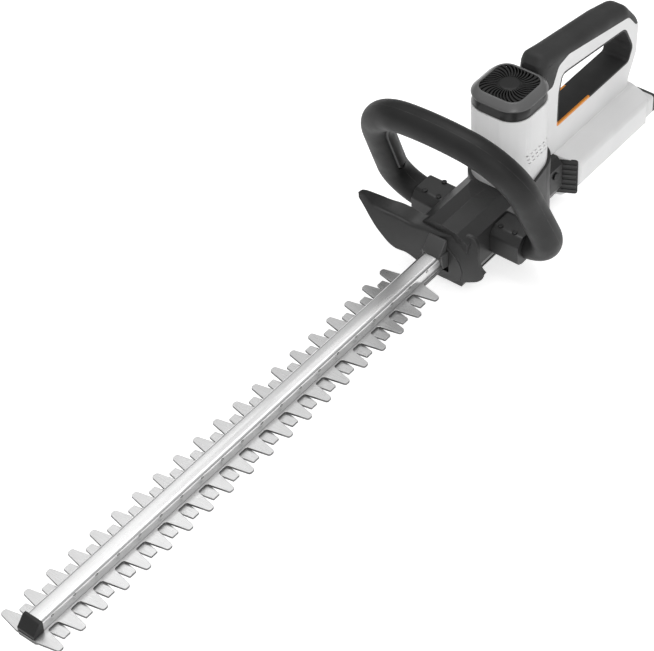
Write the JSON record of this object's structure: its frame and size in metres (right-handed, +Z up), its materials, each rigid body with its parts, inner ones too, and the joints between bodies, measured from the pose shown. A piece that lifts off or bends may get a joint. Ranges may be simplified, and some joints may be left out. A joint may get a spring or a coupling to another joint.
{
  "type": "cordless hedge trimmer",
  "caption": "Battery hedge trimmer with a long two-blade cutting bar, hand guard, looped front handle, upright motor and open rear handle.",
  "frame": {"origin": "centre of the bounding box, at its base", "axes": "+X along the tool, from the blade tip to the battery; +Y to the tool's right; +Z up"},
  "size_m": [0.8733, 0.2064, 0.1975],
  "materials": {
    "white_shell": "satin",
    "black_shell": "satin",
    "cap_plastic": "gloss",
    "loop_plastic": "fine matte",
    "soft_grip": "matte",
    "trigger_plastic": "satin",
    "accent": "satin",
    "blade_steel": "brushed",
    "rail_steel": "brushed",
    "tip_plastic": "matte",
    "gear_steel": "machined",
    "plate_alloy": "cast",
    "guide_plastic": "matte",
    "motor_steel": "satin",
    "fan_plastic": "matte",
    "fixings": "blackened",
    "spring_steel": "bright",
    "switch_plastic": "matte",
    "board": "satin",
    "battery_plastic": "satin",
    "latch_plastic": "satin",
    "cell_wrap": "satin"
  },
  "bodies": {
    "frame": {"housing_left": "white_shell", "housing_right": "white_shell", "gear_case_left": "black_shell", "gear_case_right": "black_shell", "base_plate": "black_shell", "front_guard": "black_shell", "handle_arm_left": "black_shell", "handle_arm_right": "black_shell", "bay_grille": "black_shell", "motor_cap": "cap_plastic", "cap_band": "cap_plastic", "loop_shell_front": "loop_plastic", "loop_shell_rear": "loop_plastic", "grip_overmould": "soft_grip", "handle_liner": "soft_grip", "accent_strips": "accent", "blade_rail": "rail_steel", "lower_bar": "rail_steel", "tip_cap": "tip_plastic", "gear_axle": "gear_steel", "shaft_bearing": "gear_steel", "rail_bushes": "gear_steel", "trigger_pin": "gear_steel", "motor_plate": "plate_alloy", "yoke_guide": "guide_plastic", "motor_can": "motor_steel", "rail_bolts": "fixings", "arm_screws": "fixings", "neck_screws": "fixings", "base_screws": "fixings", "trigger_spring": "spring_steel", "trigger_switch": "switch_plastic", "front_switch": "switch_plastic", "terminal_block": "switch_plastic", "control_board": "board"},
    "drive": {"drive_gear": "gear_steel"},
    "rotor": {"motor_rotor": "motor_steel", "motor_pinion": "gear_steel", "motor_fan": "fan_plastic"},
    "blade_top": {"blade_upper": "blade_steel"},
    "blade_bottom": {"blade_lower": "blade_steel"},
    "trigger_lever": {"trigger": "trigger_plastic"},
    "squeeze_bar": {"front_switch_bar": "loop_plastic"},
    "battery": {"battery_case": "battery_plastic", "battery_cells": "cell_wrap", "battery_end": "battery_plastic"},
    "latch": {"battery_latch": "latch_plastic"}
  },
  "joints": [
    {"name": "drive_spin", "type": "hinge", "parent": "frame", "child": "drive", "pos_m": [0.2079, 0, 0.041], "axis": [0, 0, 1], "range_deg": [-90.2, 90.2]},
    {"name": "rotor_spin", "type": "hinge", "parent": "frame", "child": "rotor", "pos_m": [0.2339, 0, 0.09], "axis": [0, 0, 1], "range_deg": [-496, 496]},
    {"name": "upper_stroke", "type": "slide", "parent": "frame", "child": "blade_top", "axis": [1, 0, 0], "range_m": [-0.005, 0.005]},
    {"name": "lower_stroke", "type": "slide", "parent": "frame", "child": "blade_bottom", "axis": [1, 0, 0], "range_m": [-0.00501, 0.00501]},
    {"name": "trigger_pull", "type": "hinge", "parent": "frame", "child": "trigger_lever", "pos_m": [0.3599, 0, 0.1345], "axis": [0, 1, 0], "range_deg": [0, 7], "stiffness_Nm_per_rad": 1, "springref_deg": -8.59},
    {"name": "bar_squeeze", "type": "slide", "parent": "frame", "child": "squeeze_bar", "axis": [-0.3872, 0, 0.922], "range_m": [0, 0.003], "stiffness_N_per_m": 1200, "springref_m": -0.003},
    {"name": "battery_slide", "type": "slide", "parent": "frame", "child": "battery", "axis": [1, 0, 0], "range_m": [0, 0.125]},
    {"name": "latch_press", "type": "slide", "parent": "battery", "child": "latch", "axis": [0, 0, -1], "range_m": [0, 0.0022], "stiffness_N_per_m": 800, "springref_m": -0.002}
  ],
  "couplings": [
    {"joint": "drive_spin", "follows": "upper_stroke", "rad_per_m": -314.16},
    {"joint": "rotor_spin", "follows": "upper_stroke", "rad_per_m": 1727.9},
    {"joint": "lower_stroke", "follows": "upper_stroke", "ratio": -1}
  ]
}
